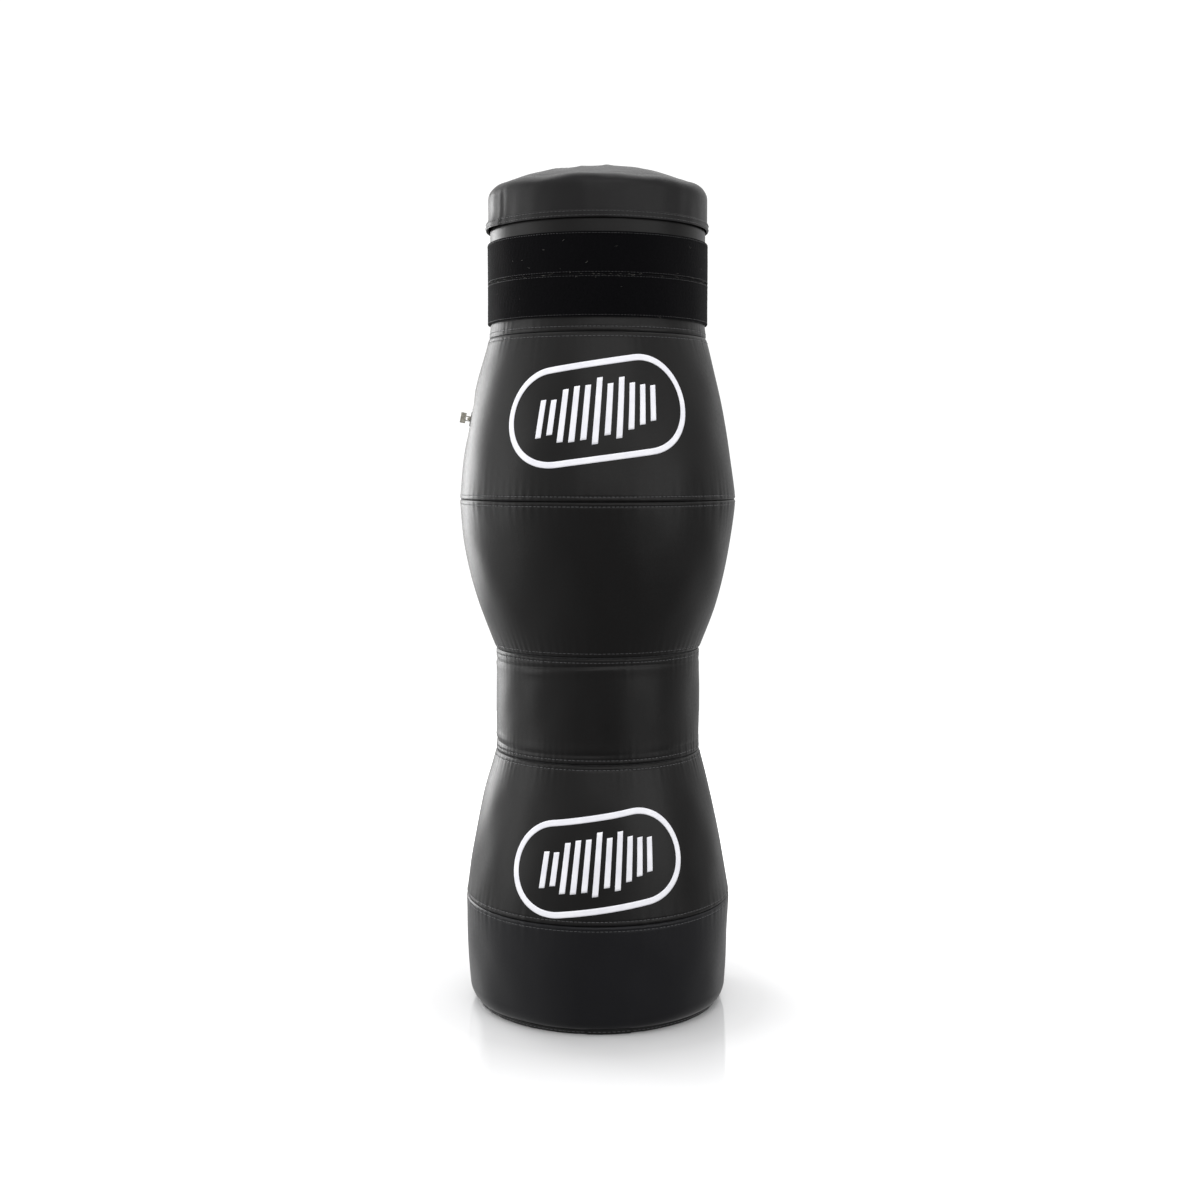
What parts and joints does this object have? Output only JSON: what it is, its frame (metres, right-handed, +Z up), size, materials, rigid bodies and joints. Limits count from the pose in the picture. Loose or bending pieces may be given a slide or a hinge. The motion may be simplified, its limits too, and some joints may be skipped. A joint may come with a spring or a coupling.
{
  "type": "grappling dummy",
  "caption": "Free-standing grappling dummy: a stuffed column of sewn coated-cloth tubes with a waist, a hinged lid, a hook-and-loop neck strap and a filling zip round the back.",
  "frame": {"origin": "on the floor under the centre of the foot", "axes": "+Z up along the column, -Y is the printed front, +X is to the right as seen from the front"},
  "size_m": [0.3588, 0.3588, 1.0797],
  "materials": {
    "shell": "satin",
    "foot": "satin",
    "lid": "satin",
    "binding": "satin",
    "webbing": "matte",
    "loop_pile": "matte",
    "hook_tape": "matte",
    "foam": "matte",
    "liner": "matte",
    "fill": "matte",
    "zip_tape": "matte",
    "zip_teeth": "satin",
    "zip_metal": "satin"
  },
  "bodies": {
    "bag": {"base_foam_wrap": "foam", "base_panel": "foot", "bottom_binding": "binding", "bottom_panel": "foot", "chest_lower_foam_wrap": "foam", "chest_lower_panel": "shell", "chest_seam_tape": "webbing", "chest_upper_foam_wrap": "foam", "chest_upper_panel": "shell", "foot_foam_disc": "foam", "hip_foam_wrap": "foam", "hip_panel": "shell", "hip_seam_tape": "webbing", "inner_bag": "liner", "inner_bag_tie": "liner", "lid_tab_lower": "webbing", "neck_foam_wrap": "foam", "neck_panel": "shell", "neck_pile_tape_left": "loop_pile", "neck_pile_tape_right": "loop_pile", "neck_seam_tape": "webbing", "rim_binding": "binding", "strap_pile_lower": "loop_pile", "strap_pile_upper": "loop_pile", "strap_webbing": "webbing", "textile_fill": "fill", "waist_foam_wrap": "foam", "waist_high_seam_tape": "webbing", "waist_low_seam_tape": "webbing", "waist_panel": "shell", "zip_stop_closed_end": "zip_metal", "zip_stop_open_end": "zip_metal", "zip_tape_lower": "zip_tape", "zip_tape_upper": "zip_tape", "zip_teeth_lower": "zip_teeth", "zip_teeth_upper": "zip_teeth"},
    "lid": {"lid_top": "lid", "lid_skirt": "lid", "lid_hem": "binding", "lid_hook_tape_left": "hook_tape", "lid_hook_tape_right": "hook_tape", "lid_tab_upper": "webbing"},
    "zip_slider": {"zip_slider_body": "zip_metal"},
    "zip_pull": {"zip_pull": "zip_metal"},
    "strap_flap": {"flap_webbing": "webbing", "flap_hook_tape": "hook_tape"}
  },
  "joints": [
    {"name": "lid_hinge", "type": "hinge", "parent": "bag", "child": "lid", "pos_m": [0, 0.1415, 1.0035], "axis": [-1, 0, 0], "range_deg": [0, 115]},
    {"name": "zip_slide", "type": "hinge", "parent": "bag", "child": "zip_slider", "pos_m": [0, 0, 0.765], "axis": [0, 0, -1], "range_deg": [0, 171]},
    {"name": "zip_pull_swing", "type": "hinge", "parent": "zip_slider", "child": "zip_pull", "pos_m": [-0.16653, -0.00291, 0.76541], "axis": [0.1908, 0.0033, 0.9816], "range_deg": [-80, 80]},
    {"name": "strap_flap_peel", "type": "hinge", "parent": "bag", "child": "strap_flap", "pos_m": [-0.08816, 0.11284, 0.9356], "axis": [0, 0, 1], "range_deg": [0, 100]}
  ]
}
